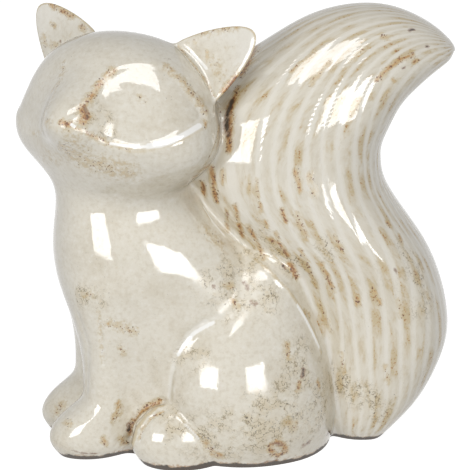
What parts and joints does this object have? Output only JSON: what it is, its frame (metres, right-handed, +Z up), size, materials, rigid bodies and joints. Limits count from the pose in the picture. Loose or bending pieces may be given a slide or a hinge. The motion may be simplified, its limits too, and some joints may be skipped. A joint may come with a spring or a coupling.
{
  "type": "fox figurine",
  "caption": "Seated fox ornament in glossy cream stoneware glaze, head turned aside, broad combed tail standing behind it, flat base.",
  "frame": {"origin": "middle of the fox's length and width, on the surface that it stands on", "axes": "+Z up, the fox's body faces -X and its tail is towards +X, the side that the head turns to is -Y"},
  "size_m": [0.1486, 0.0816, 0.149],
  "materials": {
    "body_glaze": "glossy cream reactive glaze with brown speckles",
    "face_glaze": "glossy cream reactive glaze, amber where it runs thin on edges",
    "ear_glaze": "glossy cream reactive glaze, amber on the rims",
    "paw_glaze": "glossy cream reactive glaze, dark brown at the bare foot",
    "tail_glaze": "glossy cream reactive glaze with tan bands between combed grooves"
  },
  "bodies": {
    "root": {"torso_shell": "body_glaze", "head_shell": "face_glaze", "left_ear": "ear_glaze", "right_ear": "ear_glaze", "left_foreleg": "paw_glaze", "right_foreleg": "paw_glaze", "left_haunch": "body_glaze", "right_haunch": "body_glaze", "left_hind_paw": "paw_glaze", "right_hind_paw": "paw_glaze", "tail_shell": "tail_glaze"}
  },
  "joints": []
}
